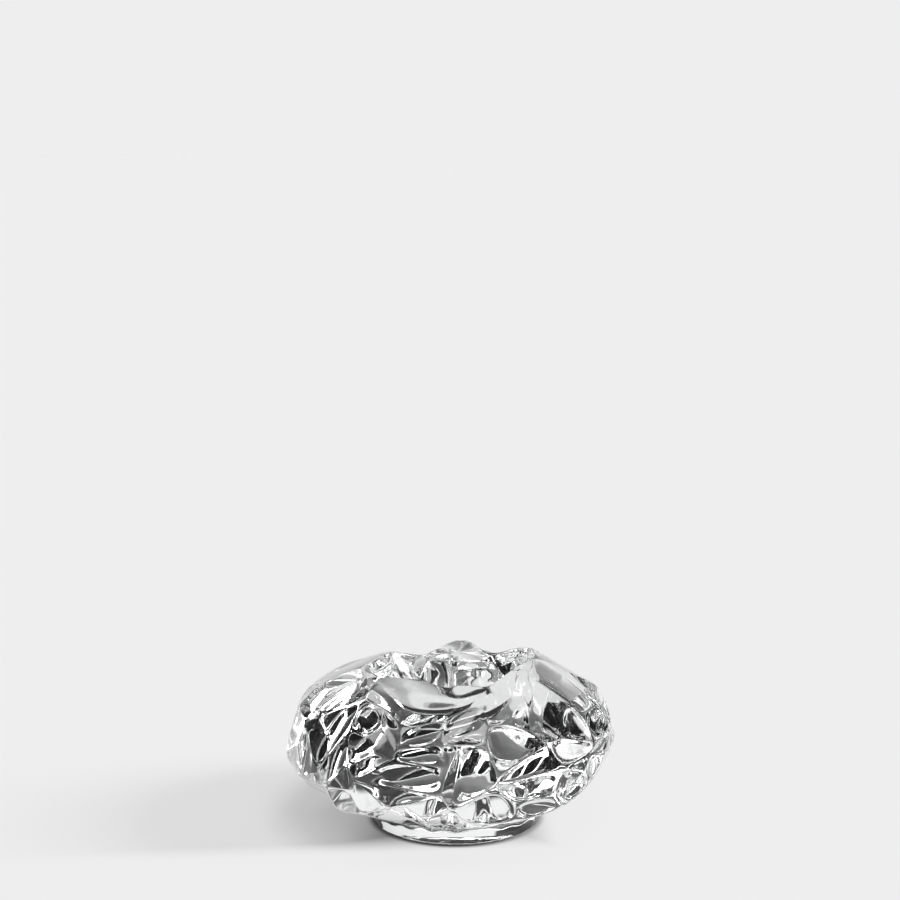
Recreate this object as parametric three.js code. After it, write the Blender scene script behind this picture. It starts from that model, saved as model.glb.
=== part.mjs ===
// Votive candle holder: one casting of clear crystal with an ice-cut outside, a round foot and a candle well.
// Millimetres, +Z up, origin at the centre of the foot's underside. The front faces -Y.
import * as THREE from 'three';
import { mergeVertices } from 'three/addons/utils/BufferGeometryUtils.js';

// Driving dimensions of the ice-cut lump's plain outline
const BELLY_RADIUS = 55;
const BELLY_HEIGHT = 28;
const RIM_RADIUS = 24;
const RIM_HEIGHT = 54;
const OUTLINE_ROUNDNESS = 1.8;
const FACET_DISH = 0.4;

// The lump sits a little to the left on its foot
const LUMP_SHIFT = -1.5;

// The back leans in above the belly, most of all straight behind: how far at the rim, out to which azimuth
const BACK_LEAN = 12;
const BACK_LEAN_REACH = 60;

// Round foot
const FOOT_RADIUS = 28.6;
const FOOT_HEIGHT = 6;
const FOOT_FLARE = 1.2;
const FOOT_EDGE = 1.2;

// Well for a tealight cup
const TEALIGHT_RADIUS = 19;
const TEALIGHT_CLEARANCE = 1.5;
const WELL_FLOOR_RADIUS = TEALIGHT_RADIUS + TEALIGHT_CLEARANCE;
const WELL_DEPTH = 24;
const WELL_DRAFT = 2;
const WELL_FILLET = 3;
const LIP_DEPTH = 18;
const LIP_FLARE = 4;

// Clear, fire-polished glass
const CLEAR_GLASS = { color: 0xeff3f3, roughness: 0.04, metalness: 0, flatShading: true };

// Corners of a turned circle, and steps of a rounded edge
const TURNS = 24;
const ARC_STEPS = 3;

// Rim corners round the mouth, from the left side through the front: [azimuth, rise, proud].
// Azimuth is in degrees from the front, rise is above RIM_HEIGHT and proud is outside the crest's circle.
const RIM_CORNERS = [
  [-90, -2, 3], [-70, -3, 3.5], [-55, -0.5, 1.5], [-20, 0.3, 0.5], [-2, -1, 1.5], [6, 0, 1], [24, -1.3, 2],
  [50, 3.3, 1], [90, 1.5, 1], [110, 2, 1.5], [128, -0.3, 1.5], [151, -4.7, 0.5], [167, 0.2, 0.5],
  [179.5, 0.3, 0.2], [201, -5.3, 0.5], [229, -1.5, 1.5],
];

// Corners inside the lip, in the same order: [azimuth, drop, proud].
// Drop is below RIM_HEIGHT and proud is outside the circle at the lip's lower end.
const INNER_CORNERS = [
  [-90, 9, 2.6], [-66, 12, 0.8], [-36, 9, 2.4], [4, 13, 0.7], [36, 10, 2.4], [62, 12, 0.9],
  [90, 9, 2.6], [114, 12, 0.8], [140, 10, 2.6], [182, 14, 0.6], [214, 10, 2.4], [244, 12, 0.9],
];

// Ridge corners of the lump by belts, each [azimuth, level, proud]. A half's azimuth is from its own middle.
// Level runs from 0 at the belly to 1 at the rim and -1 at the foot, proud is outside the plain outline.
const FRONT_SHOULDER = {
  s1: [-70, 0.77, 0.5], s2: [-43, 0.82, 1.5], s3: [-31, 0.78, 0], s4: [-18, 0.63, 0.5], s5: [-2, 0.73, 0.8],
  s6: [14, 0.88, 0.5], s7: [36, 0.86, 1], s8: [56, 0.75, 1], s9: [78, 0.58, 1],
};
const BACK_SHOULDER = {
  s1: [-60, 0.63, 0], s2: [-47, 0.78, 0], s3: [-31, 0.68, 0], s4: [-18, 0.62, 0.5], s5: [-5, 0.74, 0],
  s6: [14, 0.68, 0], s7: [30, 0.68, 0], s8: [56, 0.68, 0], s9: [78, 0.55, 0.5],
};

// The belts below the shoulder, which the back repeats half a turn round
const HALF_BELTS = {
  u1: [-65, 0.44, 1], u2: [-40, 0.53, 1], u3: [-32, 0.5, 0], u4: [-28, 0.62, -0.5], u5: [-19, 0.42, 0.5],
  u6: [-4, 0.5, 0], u7: [3, 0.5, 0.8], u8: [12, 0.48, 0.5], u9: [13, 0.65, 0], u10: [22, 0.66, -0.5],
  u11: [30, 0.55, 0.5], u12: [35, 0.42, 1], u13: [42, 0.43, 0], u14: [58, 0.58, 1.2],

  b1: [-65, 0.19, 0.5], b2: [-50, 0, 1], b3: [-36, 0.17, 1], b4: [-27, 0.35, 0], b5: [-20, 0.3, 0.5],
  b6: [-1, 0.26, 0], b7: [15, 0.16, 1.2], b8: [38, 0.13, 1.2], b9: [53, 0.17, 0.5], b10: [58, 0.27, 1],
  b11: [76, 0.28, 0.5],

  l1: [-66, -0.34, 0.5], l2: [-46, -0.2, 1.2], l3: [-35, -0.14, 0.5], l4: [-32, 0.03, 1], l5: [-4, -0.05, 1],
  l6: [14, 0.03, 0.5], l7: [21, -0.25, 0], l8: [36, -0.26, 0], l9: [49, 0, 0.5], l10: [53, -0.28, 1],
  l11: [64, 0.04, 0],

  h1: [-49, -0.67, 1.5], h2: [-35, -0.56, 1], h3: [-22, -0.35, 0], h4: [-16, -0.25, 0.5], h5: [-10, -0.49, 0],
  h6: [0, -0.27, 1], h7: [6, -0.62, 0], h8: [25, -0.65, 0.5], h9: [45, -0.58, 0.8], h11: [-77, -0.8, -1.5],
};

// Corners of the upper body that lie lower on the back
const LOWER_ON_BACK = {
  u3: [-32, 0.44, 0], u4: [-28, 0.53, -0.5], u9: [13, 0.56, 0], u10: [22, 0.56, -0.5], u11: [30, 0.48, 0.5],
};

// Corners on the two sides, where front and back meet: each end's name, level and proud
const SIDE_BELTS = [
  { left: ['s0', 0.69, -1], right: ['s10', 0.67, 3] },
  { left: ['u0', 0.38, -0.5], right: ['u15', 0.42, 1] },
  { left: ['b0', -0.28, 2.3], right: ['b12', -0.05, 0] },
  { left: ['l0', -0.54, 3], right: ['l12', -0.42, -0.3] },
  { left: ['h0', -0.82, 5], right: ['h10', -0.68, 1.5] },
];

// Facets of the front, each by its corners, clockwise as seen from outside; the back has the same ones.
// r is the rim, s the shoulder, u the upper body, b the belly, l the lower body, h the hem, f the foot,
// i the inside of the lip and w the well.
const FACETS = [
  'r0 r1 s1 s0', 'r1 s2 u1 s1', 'r1 r2 s2', 'r2 r3 r4 s5 s4 s3 s2', 'r4 r5 r6 s6 s5', 'r6 s7 u10 u9 s6',
  'r6 r7 s7', 'r7 s8 u13 u12 u11 s7', 'r7 r8 s9 u14 s8', 'r8 s10 s9',
  's0 s1 u1 u0', 'u1 s2 u2 b2', 's2 s3 u4 u3 u2', 's3 s4 u5 u4', 's4 s5 u6 u5', 's5 s6 u9 u6', 's7 u11 u10',
  's8 u14 b10 u13', 'u14 s9 b11 b10', 's9 s10 u15 b11',
  'u0 u1 b1 b0', 'u1 b2 l1 b1', 'u2 b3 l2 b2', 'u2 u3 b4 b3', 'u4 u5 b5 b4 u3', 'u5 u6 b6 b5', 'u6 u7 b6',
  'u6 u9 u8 u7', 'u9 u10 u11 u12 b7 u8', 'u7 u8 b7 l6 h6', 'u7 h6 l5 b6', 'u12 u13 b10 b9 b8',
  'b10 b11 l11 b9', 'b11 u15 b12 l11',
  'b0 b1 l1 l0', 'b2 l2 l1', 'b3 l3 l2', 'b3 l4 l3', 'b4 b5 l4 b3', 'b5 b6 l5 l4', 'b7 u12 b8 l6',
  'l6 b8 l8 l7', 'b8 b9 l9', 'b9 l11 l10 l9', 'l11 b12 l12 l10', 'b8 l9 l10 h9', 'b8 h9 l8',
  'l1 l2 h11 h0 l0', 'l2 h1 h11', 'l2 l3 h2 h1', 'l3 l4 h3 h2', 'l4 l5 h4 h3', 'l5 h6 h5 h4',
  'l6 l7 h8 h7 h6', 'l7 l8 h9 h8', 'l10 l12 h10 h9',
  'h0 h11 f1 f0', 'h11 h1 f3 f2 f1', 'h1 h2 f4 f3', 'h2 h3 f5 f4', 'h3 h4 h5 f5', 'h5 h6 h7 f6 f5',
  'h7 h8 f8 f7 f6', 'h8 h9 f9 f8', 'h9 h10 f12 f11 f10 f9',
  'r1 r0 i0', 'r1 i0 i1', 'r2 r1 i1', 'r2 i1 i2', 'r3 r2 i2', 'r3 i2 i3', 'r4 r3 i3', 'r5 r4 i3', 'r6 r5 i3',
  'r6 i3 i4', 'r7 r6 i4', 'r7 i4 i5', 'r8 r7 i5', 'r8 i5 i6',
  'i1 i0 w0 w1 w2', 'i2 i1 w2 w3 w4', 'i3 i2 w4 w5 w6', 'i4 i3 w6 w7 w8', 'i5 i4 w8 w9 w10',
  'i6 i5 w10 w11 w12',
];

// Heights and radii that follow from the sizes above
const WELL_FLOOR_HEIGHT = RIM_HEIGHT - WELL_DEPTH;
const WELL_FLAT_RADIUS = WELL_FLOOR_RADIUS - WELL_FILLET;
const LIP_HEIGHT = RIM_HEIGHT - LIP_DEPTH;
const LIP_RADIUS = WELL_FLOOR_RADIUS + WELL_DRAFT;
const CREST_RADIUS = LIP_RADIUS + LIP_FLARE;
const SIDE_AZIMUTH = 90;
const HALF_TURN = 2 * SIDE_AZIMUTH;

// A point at an azimuth from the front, on a circle about a line at the given place left or right
function around(azimuth, radius, height, shift) {
  const angle = THREE.MathUtils.degToRad(azimuth);
  return new THREE.Vector3(shift + radius * Math.sin(angle), -radius * Math.cos(angle), height);
}

// A point on the lump's plain outline, which swells from the foot to the belly and closes in to the rim
function onLump(azimuth, level, proud) {
  const rim = { radius: RIM_RADIUS, height: RIM_HEIGHT };
  const foot = { radius: FOOT_RADIUS, height: FOOT_HEIGHT };
  const end = level > 0 ? rim : foot;
  const reach = Math.abs(level);
  const swell = (1 - reach ** OUTLINE_ROUNDNESS) ** (1 / OUTLINE_ROUNDNESS);
  const radius = end.radius + (BELLY_RADIUS - end.radius) * swell + proud;
  return around(azimuth, radius, BELLY_HEIGHT + (end.height - BELLY_HEIGHT) * reach, LUMP_SHIFT);
}

// A corner of the back, which leans in above the belly; the azimuth is from straight behind
function onBack(azimuth, level, proud) {
  const share = Math.min(Math.abs(azimuth) / BACK_LEAN_REACH, 1);
  const lean = BACK_LEAN * Math.max(level, 0) * Math.cos(share * Math.PI / 2);
  return onLump(azimuth + HALF_TURN, level, proud - lean);
}

// A turned circle's corners, from the left side through the front and the back
function circle(radius, height, shift) {
  const step = 2 * HALF_TURN / TURNS;
  return Array.from({ length: TURNS }, (_, i) => around(i * step - SIDE_AZIMUTH, radius, height, shift));
}

// Circles along a rounded edge, from one angle to the next in degrees
function roundedEdge(radius, height, rounding, from, to, shift) {
  return Array.from({ length: ARC_STEPS + 1 }, (_, i) => {
    const angle = THREE.MathUtils.degToRad(from + (to - from) * i / ARC_STEPS);
    return circle(radius + rounding * Math.cos(angle), height + rounding * Math.sin(angle), shift);
  });
}

// Circles of the foot, from the lump down to the underside
function footCircles() {
  return [
    circle(FOOT_RADIUS + FOOT_FLARE, FOOT_HEIGHT, 0),
    ...roundedEdge(FOOT_RADIUS - FOOT_EDGE, FOOT_EDGE, FOOT_EDGE, 0, -90, 0),
  ];
}

// Circles of the well, from the floor up to the lip
function wellCircles() {
  return [
    ...roundedEdge(WELL_FLAT_RADIUS, WELL_FLOOR_HEIGHT + WELL_FILLET, WELL_FILLET, -90, 0, LUMP_SHIFT),
    circle(LIP_RADIUS, LIP_HEIGHT, LUMP_SHIFT),
  ];
}

// Every corner of front and back by name; the rings that go right round share their ends
function allCorners(foot, well) {
  const corners = new Map();
  const rim = RIM_CORNERS.map(([azimuth, rise, proud]) => (
    around(azimuth, CREST_RADIUS + proud, RIM_HEIGHT + rise, LUMP_SHIFT)
  ));
  const inner = INNER_CORNERS.map(([azimuth, drop, proud]) => (
    around(azimuth, LIP_RADIUS + proud, RIM_HEIGHT - drop, LUMP_SHIFT)
  ));
  for (const [letter, ring] of [['r', rim], ['i', inner], ['f', foot], ['w', well]]) {
    const half = ring.length / 2;
    for (let i = 0; i <= half; i += 1) {
      corners.set(`front ${letter}${i}`, ring[i]);
      corners.set(`back ${letter}${i}`, ring[(half + i) % ring.length]);
    }
  }
  const front = { ...FRONT_SHOULDER, ...HALF_BELTS };
  const back = { ...BACK_SHOULDER, ...HALF_BELTS, ...LOWER_ON_BACK };
  for (const [name, place] of Object.entries(front)) corners.set(`front ${name}`, onLump(...place));
  for (const [name, place] of Object.entries(back)) corners.set(`back ${name}`, onBack(...place));
  for (const { left, right } of SIDE_BELTS) {
    const onLeft = onLump(-SIDE_AZIMUTH, left[1], left[2]);
    const onRight = onLump(SIDE_AZIMUTH, right[1], right[2]);
    corners.set(`front ${left[0]}`, onLeft).set(`back ${right[0]}`, onLeft);
    corners.set(`front ${right[0]}`, onRight).set(`back ${left[0]}`, onRight);
  }
  return corners;
}

// Triangles from a middle to a loop of corners, clockwise as seen from outside
function fan(middle, loop) {
  return loop.flatMap((corner, i) => [middle, loop[(i + 1) % loop.length], corner]);
}

// A facet whose middle lies a little below its corners
function dishedFacet(loop) {
  const middle = new THREE.Vector3();
  const normal = new THREE.Vector3();
  loop.forEach((corner, i) => {
    middle.addScaledVector(corner, 1 / loop.length);
    normal.add(new THREE.Vector3().crossVectors(loop[(i + 1) % loop.length], corner));
  });
  return fan(middle.addScaledVector(normal.normalize(), -FACET_DISH), loop);
}

// A turned wall between neighbouring circles, each with the next one below it as seen from outside
function turnedWall(circles) {
  return circles.slice(1).flatMap((lower, row) => lower.flatMap((corner, i) => {
    const next = (i + 1) % TURNS;
    const upper = circles[row];
    return [upper[i], corner, upper[next], upper[next], corner, lower[next]];
  }));
}

function crystalBody() {
  const foot = footCircles();
  const well = wellCircles();
  const corners = allCorners(foot.at(0), well.at(-1));
  const triangles = ['front', 'back'].flatMap((half) => FACETS.flatMap((facet) => (
    dishedFacet(facet.split(' ').map((name) => corners.get(`${half} ${name}`)))
  )));
  triangles.push(...turnedWall(foot), ...fan(new THREE.Vector3(0, 0, 0), foot.at(-1)));
  const floorMiddle = new THREE.Vector3(LUMP_SHIFT, 0, WELL_FLOOR_HEIGHT);
  triangles.push(...turnedWall(well), ...fan(floorMiddle, [...well.at(0)].reverse()));
  const geometry = mergeVertices(new THREE.BufferGeometry().setFromPoints(triangles));
  const mesh = new THREE.Mesh(geometry, new THREE.MeshStandardMaterial(CLEAR_GLASS));
  mesh.name = 'crystal_body';
  return mesh;
}

const holder = new THREE.Group();
holder.add(crystalBody());
export default holder;
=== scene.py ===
"""Ice-cut crystal votive holder

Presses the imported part's glass with raised seams and a rounded crest, and sets it in a small pale studio.
"""

import math

import bmesh
import bpy
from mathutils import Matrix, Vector


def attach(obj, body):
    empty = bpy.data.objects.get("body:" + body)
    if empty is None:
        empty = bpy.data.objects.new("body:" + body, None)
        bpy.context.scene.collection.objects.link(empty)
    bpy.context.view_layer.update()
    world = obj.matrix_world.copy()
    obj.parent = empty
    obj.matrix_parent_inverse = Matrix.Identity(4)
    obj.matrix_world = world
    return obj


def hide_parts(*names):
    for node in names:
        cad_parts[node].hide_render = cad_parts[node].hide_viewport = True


bl_info = {
    "name": "Crystal Votive Holder",
    "version": (1, 0, 0),
    "blender": (4, 5, 0),
    "location": "View3D > Sidebar > Votive",
    "description": "Presses a crystal votive holder from its packed part and lights it in a pale studio",
    "category": "Object",
}

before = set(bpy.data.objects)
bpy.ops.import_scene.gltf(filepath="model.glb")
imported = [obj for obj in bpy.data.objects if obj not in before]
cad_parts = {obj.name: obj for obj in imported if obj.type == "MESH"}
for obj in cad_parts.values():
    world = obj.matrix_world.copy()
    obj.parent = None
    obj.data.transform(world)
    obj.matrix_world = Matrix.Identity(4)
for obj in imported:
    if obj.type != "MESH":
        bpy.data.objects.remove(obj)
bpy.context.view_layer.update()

NODE = "crystal_body"
PIECE = "crystal_casting"
MM = 0.001

UP = Vector((0, 0, 1))
BEHIND = Vector((0, 1, 0))
FLAT = Vector((1, 1, 0))

# The casting's plain measures, as the part has them
LUMP_SHIFT = -1.5 * MM
LIP_RADIUS = 22.5 * MM
LIP_HEIGHT = 36 * MM
FOOT_HEIGHT = 6 * MM
WELL_FLOOR_HEIGHT = 30 * MM
FACET_DIP = 0.4 * MM
# The crest runs above this height and no farther than this from the middle of the well
CREST_LOW = 47 * MM
CREST_REACH = 31 * MM
# How close counts as the same place, the same dip and the same corner
NEAR = 0.05 * MM
DIP_PLAY = 0.01 * MM
MERGE = 0.001 * MM
# The middle of a flat disc has more spokes than this, and a ring's edge turns by more than this
DISC_SPOKES = 12
RING_TURN = math.radians(20)
CREST_STEPS = 2
SOFTENING = 3

# Glass: the noise levels between which cords and scuffs come in, and how fine their clouds are
CORD_LEVELS = (0.45, 0.7)
CORD_DETAIL = 3.0
SKIN_DETAIL = 1.0
SCUFF_SIZE = 1.2 * MM
SCUFF_LEVELS = (0.4, 0.65)
SCUFF_DETAIL = 4.0
# The foot's rubbed ring: heights and distances from the middle at which it begins and is whole
RUBBED_HEIGHT = (0.5 * MM, 0.1 * MM)
RUBBED_RING = (22 * MM, 26 * MM)
# Which sockets of a Mix node hold its two colours and the result
MIX_FIRST = 6
MIX_SECOND = 7
MIX_RESULT = 2

# Studio: where the camera stands and how far it looks down
EYE = Vector((-2, -600, 222)) * MM
LOOK_DOWN = math.radians(9.21)
SENSOR = 36
NEAREST_SEEN = 10 * MM
FLOOR_REACH = 60.0
FLOOR_CORNERS = 64
FLOOR_GAP = 0.1 * MM
GLASS_BOUNCES = 24
SHEEN_BOUNCES = 16

# Soft boxes: where they hang, width and height in degrees as seen from the holder, and strength.
# Two hang above, the third stands on the right and casts the shadow, and a faint wide one is low behind
LIGHTS = (
    ((0.15, -0.25, 1.0), 26, 20, 7.0),
    ((-0.5, -0.15, 1.0), 10, 24, 7.0),
    ((0.95, 0.0, 0.5), 18, 18, 15.0),
    ((0.3, 0.95, 0.4), 66, 7, 0.9),
)
# How softly a box fades at its rim and where it turns away, and the smallest number to divide by
BOX_EDGE = 0.06
FRONT_EDGE = 0.05
LEAST_AHEAD = 0.001
# The dim room around
ROOM = 0.012
# The pale backdrop stands low behind the holder: height and straightness at which it ends and is whole
BACKDROP_TOP = (0.1, 0.08)
BACKDROP_SIDE = (0.93, 0.965)
# How bright a white floor is under the soft boxes
FLOOR_LIGHT = 0.978
# Painted light: patches of glow painted on the floor in front and at both sides to lighten the holder's
# shadow there, in place of light through the crystal:
# toward where, how far from the middle each begins and is whole, and its share of the floor's tone
PAINTED_GLOW_PATCHES = (
    ((0.1, -1.0, 0.0), 10 * MM, 33 * MM, 0.92),
    ((-1.0, 0.0, 0.0), 10 * MM, 40 * MM, 0.45),
    ((1.0, 0.0, 0.0), 15 * MM, 34 * MM, 0.92),
)
# A painted glow laid evenly over the whole floor, under the foot too, and the distances from the middle at
# which the painted patches begin and are whole beside the foot
PAINTED_GLOW_BASE = 0.05
FOOT_CLEAR = (27.5 * MM, 30.5 * MM)


class CrystalShape(bpy.types.PropertyGroup):
    """How the pressed glass is shaped"""

    seam_width: bpy.props.FloatProperty(
        name="Seam width", description="Width of the raised seam along each facet",
        default=0.9 * MM, min=0.0, unit="LENGTH")
    seam_lift: bpy.props.FloatProperty(
        name="Seam lift", description="How far seams are raised before they are softened",
        default=0.2 * MM, min=0.0, unit="LENGTH")
    crest_width: bpy.props.FloatProperty(
        name="Crest width", description="Width of the rounded crest on each side of its line",
        default=0.9 * MM, min=0.0, unit="LENGTH")
    seam_crease: bpy.props.FloatProperty(
        name="Seam crease", description="How crisp the top of a seam stays",
        default=0.32, min=0.0, max=1.0, subtype="FACTOR")
    facet_crease: bpy.props.FloatProperty(
        name="Facet crease", description="How crisp the border of a facet stays",
        default=0.42, min=0.0, max=1.0, subtype="FACTOR")
    crest_crease: bpy.props.FloatProperty(
        name="Crest crease", description="How crisp the rim's crest stays",
        default=0.3, min=0.0, max=1.0, subtype="FACTOR")
    ring_crease: bpy.props.FloatProperty(
        name="Ring crease", description="How crisp the turned rings of foot and well stay",
        default=0.4, min=0.0, max=1.0, subtype="FACTOR")


class CrystalGlass(bpy.types.PropertyGroup):
    """The clear glass"""

    tint: bpy.props.FloatVectorProperty(
        name="Tint", description="Colour of the clear glass",
        default=(0.99, 0.995, 0.995), min=0.0, max=1.0, subtype="COLOR")
    cord_tint: bpy.props.FloatVectorProperty(
        name="Cord tint", description="Colour of the faint cords left by the melt",
        default=(0.955, 0.967, 0.967), min=0.0, max=1.0, subtype="COLOR")
    cord_size: bpy.props.FloatProperty(
        name="Cord size", description="Width of the cords left by the melt",
        default=7 * MM, min=0.1 * MM, unit="LENGTH")
    refraction: bpy.props.FloatProperty(
        name="Refraction", description="Index of refraction of the crystal",
        default=1.5, min=1.0, max=2.5)
    skin_wave: bpy.props.FloatProperty(
        name="Skin wave", description="Height of the slow waves in the fire-polished skin",
        default=0.02 * MM, min=0.0, unit="LENGTH")
    skin_wave_size: bpy.props.FloatProperty(
        name="Skin wave size", description="Width of the slow waves in the skin",
        default=6 * MM, min=0.1 * MM, unit="LENGTH")
    foot_wear: bpy.props.FloatProperty(
        name="Foot wear", description="Roughness of the rubbed ring on which the foot stands",
        default=0.3, min=0.0, max=1.0, subtype="FACTOR")


class StudioLook(bpy.types.PropertyGroup):
    """Floor, backdrop and camera"""

    backdrop: bpy.props.FloatProperty(
        name="Backdrop", description="Grey of the pale floor and backdrop",
        default=0.855, min=0.0, max=1.0, subtype="FACTOR")
    lens: bpy.props.FloatProperty(
        name="Lens", description="Focal length of the camera",
        default=74.48, unit="CAMERA")


def only(obj):
    """Leaves one object selected and active"""
    bpy.ops.object.select_all(action="DESELECT")
    obj.select_set(True)
    bpy.context.view_layer.objects.active = obj


def copy_of_node():
    """A copy of the part's node with its own mesh, under the piece's name"""
    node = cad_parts[NODE]
    piece = bpy.data.objects.new(PIECE, node.data.copy())
    piece.data.name = PIECE
    bpy.context.scene.collection.objects.link(piece)
    only(piece)
    return piece


def mesh_in_edit(piece):
    """The piece's mesh in edit mode, with its numbering up to date"""
    mesh = bmesh.from_edit_mesh(piece.data)
    for items in (mesh.verts, mesh.edges, mesh.faces):
        items.index_update()
        items.ensure_lookup_table()
    return mesh


def choose(piece, kind, test):
    """Selects the vertices, edges or faces that pass a test"""
    bpy.ops.mesh.select_all(action="DESELECT")
    bpy.ops.mesh.select_mode(type={"verts": "VERT", "edges": "EDGE", "faces": "FACE"}[kind])
    mesh = mesh_in_edit(piece)
    for item in getattr(mesh, kind):
        item.select_set(test(item))
    mesh.select_flush_mode()
    bmesh.update_edit_mesh(piece.data)


def off_axis(point):
    """Distance from the upright line through the middle of the well"""
    return math.hypot(point.x - LUMP_SHIFT, point.y)


def is_turned(vert):
    """Whether a vertex lies on a turned ring of the foot or the well"""
    point = vert.co
    at_well_height = WELL_FLOOR_HEIGHT - NEAR < point.z < LIP_HEIGHT + NEAR
    in_well = at_well_height and off_axis(point) < LIP_RADIUS + NEAR
    return in_well or point.z < FOOT_HEIGHT + NEAR


def is_turned_all(item):
    """Whether an edge or face lies on the turned rings"""
    return all(is_turned(v) for v in item.verts)


def is_crest(edge):
    """Whether an edge runs along the rim's crest"""
    return all(v.co.z > CREST_LOW and off_axis(v.co) < CREST_REACH for v in edge.verts)


def faces_well(face):
    """Whether a face lies inside the lip"""
    middle = face.calc_center_median()
    outward = face.normal.x * (middle.x - LUMP_SHIFT) + face.normal.y * middle.y
    return middle.z > LIP_HEIGHT and outward < 0


def is_middle(vert):
    """Whether a vertex is the middle of a dished facet or of a flat disc"""
    around = [e.other_vert(vert).co for e in vert.link_edges]
    if is_turned(vert):
        return len(around) > DISC_SPOKES
    dip = (vert.co - sum(around, Vector()) / len(around)).length
    return abs(dip - FACET_DIP) < DIP_PLAY


def open_facets(piece):
    """Joins the part's triangles to whole facets and ring walls"""
    bpy.ops.mesh.select_all(action="SELECT")
    bpy.ops.mesh.remove_doubles(threshold=MERGE)
    bpy.ops.mesh.customdata_custom_splitnormals_clear()
    choose(piece, "verts", is_middle)
    bpy.ops.mesh.dissolve_verts()
    choose(piece, "faces", is_turned_all)
    bpy.ops.mesh.tris_convert_to_quads(face_threshold=math.pi, shape_threshold=math.pi)


def round_crest(piece, shape):
    """Rounds the crest of the rim and gives the numbers of its faces"""
    choose(piece, "edges", is_crest)
    bpy.ops.mesh.bevel(offset=shape.crest_width, segments=CREST_STEPS, profile=0.5, affect="EDGES")
    return {f.index for f in mesh_in_edit(piece).faces if f.select}


def raise_seams(piece, shape, crest):
    """Sets each outside facet between raised seams and gives the count of corners from before"""
    corners = len(mesh_in_edit(piece).verts)
    choose(piece, "faces", lambda f: not (f.index in crest or is_turned_all(f) or faces_well(f)))
    bpy.ops.mesh.inset(thickness=shape.seam_width, use_individual=True)
    choose(piece, "verts", lambda v: v.index < corners and not is_turned(v))
    bpy.ops.transform.shrink_fatten(value=shape.seam_lift)
    return corners


def crease_edges(piece, shape, corners):
    """Creases seams, facet borders, crest and rings, so that softening keeps them"""
    def is_seam(edge):
        return all(v.index < corners for v in edge.verts) and not is_turned_all(edge)

    def is_ring(edge):
        return is_turned_all(edge) and edge.calc_face_angle(0.0) > RING_TURN

    for test, crease in (
        (is_ring, shape.ring_crease),
        (lambda e: is_seam(e) and not is_crest(e), shape.seam_crease),
        (lambda e: is_seam(e) and is_crest(e), shape.crest_crease),
        (lambda e: all(v.index >= corners for v in e.verts), shape.facet_crease),
    ):
        choose(piece, "edges", test)
        bpy.ops.transform.edge_crease(value=-1)
        bpy.ops.transform.edge_crease(value=crease)


def soften(piece):
    """Rounds seams, crest and rings as the fire polish does"""
    smooth = piece.modifiers.new("soften", "SUBSURF")
    smooth.levels = smooth.render_levels = SOFTENING
    bpy.ops.object.modifier_apply(modifier=smooth.name)


class VOTIVE_OT_press_crystal(bpy.types.Operator):
    """Presses the crystal casting with its facets, raised seams, rounded crest and turned rings"""

    bl_idname = "votive.press_crystal"
    bl_label = "Press Crystal"

    def execute(self, context):
        shape = context.scene.crystal_shape
        piece = copy_of_node()
        bpy.ops.object.mode_set(mode="EDIT")
        open_facets(piece)
        crest = round_crest(piece, shape)
        corners = raise_seams(piece, shape, crest)
        crease_edges(piece, shape, corners)
        bpy.ops.object.mode_set(mode="OBJECT")
        soften(piece)
        bpy.ops.object.shade_smooth()
        piece.data.materials.clear()
        piece.data.materials.append(clear_glass(context.scene.crystal_glass))
        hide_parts(NODE)
        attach(piece, "root")
        return {"FINISHED"}


class Nodes:
    """Adds shader nodes to a tree and links them"""

    def __init__(self, tree):
        self.tree = tree
        tree.nodes.clear()

    def add(self, kind, *inputs, **settings):
        """A node with its first inputs set or linked"""
        node = self.tree.nodes.new("ShaderNode" + kind)
        for name, value in settings.items():
            setattr(node, name, value)
        for socket, value in zip(node.inputs, inputs):
            self.feed(socket, value)
        return node

    def feed(self, socket, value):
        """Links or sets one input"""
        if isinstance(value, bpy.types.NodeSocket):
            self.tree.links.new(value, socket)
        elif value is not None:
            socket.default_value = value

    def math(self, operation, *inputs):
        """The result of one operation on numbers"""
        return self.add("Math", *inputs, operation=operation).outputs[0]

    def dot(self, vector, along):
        """How far a vector reaches along a direction"""
        return self.add("VectorMath", vector, tuple(along), operation="DOT_PRODUCT").outputs["Value"]

    def step(self, value, low, high):
        """0 at low, 1 at high, smooth between"""
        ease = self.add("MapRange", value, low, high, 0.0, 1.0, interpolation_type="SMOOTHSTEP")
        return ease.outputs[0]

    def noise(self, place, size, detail):
        """Clouds of a given size"""
        return self.add("TexNoise", place, None, 1 / size, detail).outputs[0]


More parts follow.
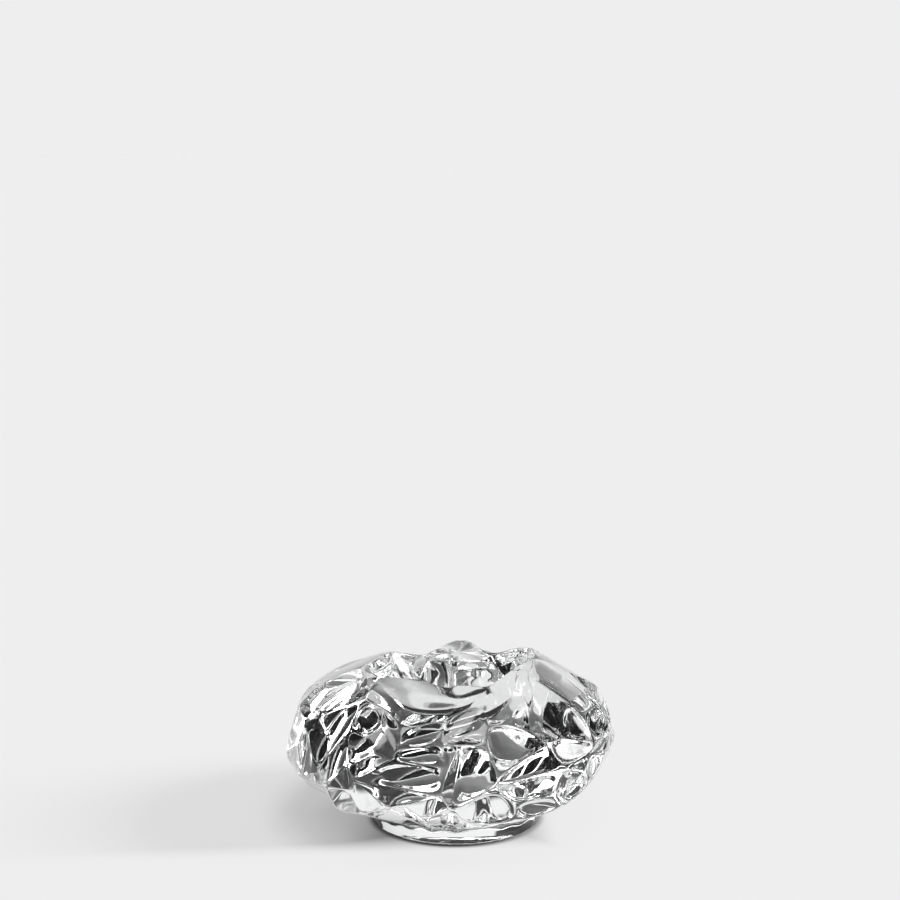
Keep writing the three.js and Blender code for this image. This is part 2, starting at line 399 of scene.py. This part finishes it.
def clear_glass(look):
    """Clear fire-polished glass with faint cords, a slowly waving skin and a rubbed foot"""
    material = bpy.data.materials.new("clear_glass")
    material.use_nodes = True
    nodes = Nodes(material.node_tree)
    place = nodes.add("TexCoord").outputs["Object"]

    melt = nodes.step(nodes.noise(place, look.cord_size, CORD_DETAIL), *CORD_LEVELS)
    colour = nodes.add("Mix", melt, data_type="RGBA")
    colour.inputs[MIX_FIRST].default_value = (*look.tint, 1)
    colour.inputs[MIX_SECOND].default_value = (*look.cord_tint, 1)

    standing = nodes.step(nodes.dot(place, UP), *RUBBED_HEIGHT)
    flat = nodes.add("VectorMath", place, FLAT, operation="MULTIPLY").outputs[0]
    reach = nodes.add("VectorMath", flat, operation="LENGTH").outputs["Value"]
    rubbed = nodes.math("MULTIPLY", standing, nodes.step(reach, *RUBBED_RING))
    scuffs = nodes.step(nodes.noise(place, SCUFF_SIZE, SCUFF_DETAIL), *SCUFF_LEVELS)
    wear = nodes.math("MULTIPLY", nodes.math("MULTIPLY", rubbed, scuffs), look.foot_wear)

    wave = nodes.noise(place, look.skin_wave_size, SKIN_DETAIL)
    bump = nodes.add("Bump")
    bump.inputs["Strength"].default_value = 1.0
    bump.inputs["Distance"].default_value = look.skin_wave
    nodes.feed(bump.inputs["Height"], wave)

    glass = nodes.add("BsdfPrincipled")
    nodes.feed(glass.inputs["Base Color"], colour.outputs[MIX_RESULT])
    nodes.feed(glass.inputs["Roughness"], wear)
    nodes.feed(glass.inputs["Normal"], bump.outputs[0])
    glass.inputs["IOR"].default_value = look.refraction
    glass.inputs["Transmission Weight"].default_value = 1.0
    nodes.add("OutputMaterial", glass.outputs[0])
    return material


def softbox(nodes, toward, aim, width, height):
    """1 inside a rectangular light seen in a direction, 0 outside"""
    aim = Vector(aim).normalized()
    across = UP.cross(aim).normalized()
    upward = aim.cross(across)
    ahead = nodes.dot(toward, aim)
    shares = []
    for axis, size in ((across, width), (upward, height)):
        slope = nodes.math("DIVIDE", nodes.dot(toward, axis), nodes.math("MAXIMUM", ahead, LEAST_AHEAD))
        half = math.tan(math.radians(size / 2))
        shares.append(nodes.step(nodes.math("ABSOLUTE", slope), half + BOX_EDGE, half))
    in_front = nodes.step(ahead, 0.0, FRONT_EDGE)
    return nodes.math("MULTIPLY", nodes.math("MULTIPLY", *shares), in_front)


def studio_world(look):
    """A dim room with soft boxes above, on the right and low behind, and a pale backdrop"""
    world = bpy.data.worlds.new("studio")
    world.use_nodes = True
    nodes = Nodes(world.node_tree)
    toward = nodes.add("TexCoord").outputs["Generated"]
    low = nodes.step(nodes.dot(toward, UP), *BACKDROP_TOP)
    behind = nodes.step(nodes.dot(toward, BEHIND), *BACKDROP_SIDE)
    backdrop = nodes.math("MULTIPLY", nodes.math("MULTIPLY", low, behind), look.backdrop)
    level = nodes.math("MAXIMUM", backdrop, ROOM)
    for aim, width, height, strength in LIGHTS:
        level = nodes.math("MULTIPLY_ADD", softbox(nodes, toward, aim, width, height), strength, level)
    nodes.add("OutputWorld", nodes.add("Background", level).outputs[0])
    return world


def floor_paint(look):
    """Pale matt floor with painted light: a glow painted in front and at both sides lightens its shadow
    there, and its matt colour gives up as much, so unshadowed floor keeps the backdrop's grey
    """
    material = bpy.data.materials.new("floor_paint")
    material.use_nodes = True
    nodes = Nodes(material.node_tree)
    place = nodes.add("TexCoord").outputs["Object"]
    reach = nodes.add("VectorMath", place, operation="LENGTH").outputs["Value"]
    # Painted light: the share of the floor's tone that is painted glow, set by place
    painted_glow_share = 0.0
    for toward, begin, whole, share in PAINTED_GLOW_PATCHES:
        patch = nodes.step(nodes.dot(place, toward), begin, whole)
        painted_glow_share = nodes.math("MAXIMUM", painted_glow_share, nodes.math("MULTIPLY", patch, share))
    painted_glow_share = nodes.math("MULTIPLY_ADD", painted_glow_share, nodes.step(reach, *FOOT_CLEAR), PAINTED_GLOW_BASE)
    # The painted glow's tone, and the matt colour lowered by as much so that unshadowed floor keeps the
    # backdrop's grey
    painted_glow_tone = nodes.math("MULTIPLY", painted_glow_share, look.backdrop)
    matt = nodes.math("DIVIDE", nodes.math("SUBTRACT", look.backdrop, painted_glow_tone), FLOOR_LIGHT)
    paint = nodes.add("BsdfDiffuse", matt)
    # The painted glow: the floor emits it though it is no lamp
    glow_emission = nodes.add("Emission", painted_glow_tone)
    nodes.add("OutputMaterial", nodes.add("AddShader", paint.outputs[0], glow_emission.outputs[0]).outputs[0])
    return material


class VOTIVE_OT_set_studio(bpy.types.Operator):
    """Lays the pale floor, hangs the light and places the camera"""

    bl_idname = "votive.set_studio"
    bl_label = "Set Studio"

    def execute(self, context):
        scene = context.scene
        look = scene.studio_look
        bpy.ops.object.select_all(action="DESELECT")
        bpy.ops.mesh.primitive_circle_add(
            vertices=FLOOR_CORNERS, radius=FLOOR_REACH, fill_type="NGON", location=(0, 0, -FLOOR_GAP))
        floor = context.object
        floor.name = "floor"
        floor.data.materials.append(floor_paint(look))
        scene.world = studio_world(look)

        camera = bpy.data.cameras.new("camera")
        camera.lens = look.lens
        camera.sensor_width = SENSOR
        camera.clip_start = NEAREST_SEEN
        camera.clip_end = 2 * FLOOR_REACH
        stand = bpy.data.objects.new("camera", camera)
        scene.collection.objects.link(stand)
        stand.location = EYE
        stand.rotation_euler = (math.pi / 2 - LOOK_DOWN, 0, 0)
        scene.camera = stand

        scene.view_settings.view_transform = "Standard"
        scene.cycles.max_bounces = GLASS_BOUNCES
        scene.cycles.transmission_bounces = GLASS_BOUNCES
        scene.cycles.glossy_bounces = SHEEN_BOUNCES
        scene.cycles.caustics_refractive = False
        scene.cycles.caustics_reflective = False
        return {"FINISHED"}


class VOTIVE_PT_panel(bpy.types.Panel):
    """Sidebar panel of the votive holder"""

    bl_idname = "VOTIVE_PT_panel"
    bl_label = "Votive Holder"
    bl_space_type = "VIEW_3D"
    bl_region_type = "UI"
    bl_category = "Votive"

    def draw(self, context):
        for operator, groups in (
            (VOTIVE_OT_set_studio, ("studio_look",)),
            (VOTIVE_OT_press_crystal, ("crystal_shape", "crystal_glass")),
        ):
            box = self.layout.box()
            box.operator(operator.bl_idname)
            for name in groups:
                group = getattr(context.scene, name)
                for prop in group.__annotations__:
                    box.prop(group, prop)


SETTINGS = {"crystal_shape": CrystalShape, "crystal_glass": CrystalGlass, "studio_look": StudioLook}
CLASSES = (*SETTINGS.values(), VOTIVE_OT_set_studio, VOTIVE_OT_press_crystal, VOTIVE_PT_panel)


def register():
    for cls in CLASSES:
        bpy.utils.register_class(cls)
    for name, cls in SETTINGS.items():
        setattr(bpy.types.Scene, name, bpy.props.PointerProperty(type=cls))


def unregister():
    for name in SETTINGS:
        delattr(bpy.types.Scene, name)
    for cls in reversed(CLASSES):
        bpy.utils.unregister_class(cls)


def main():
    register()
    bpy.ops.votive.set_studio()
    bpy.ops.votive.press_crystal()


if __name__ == "__main__":
    main()
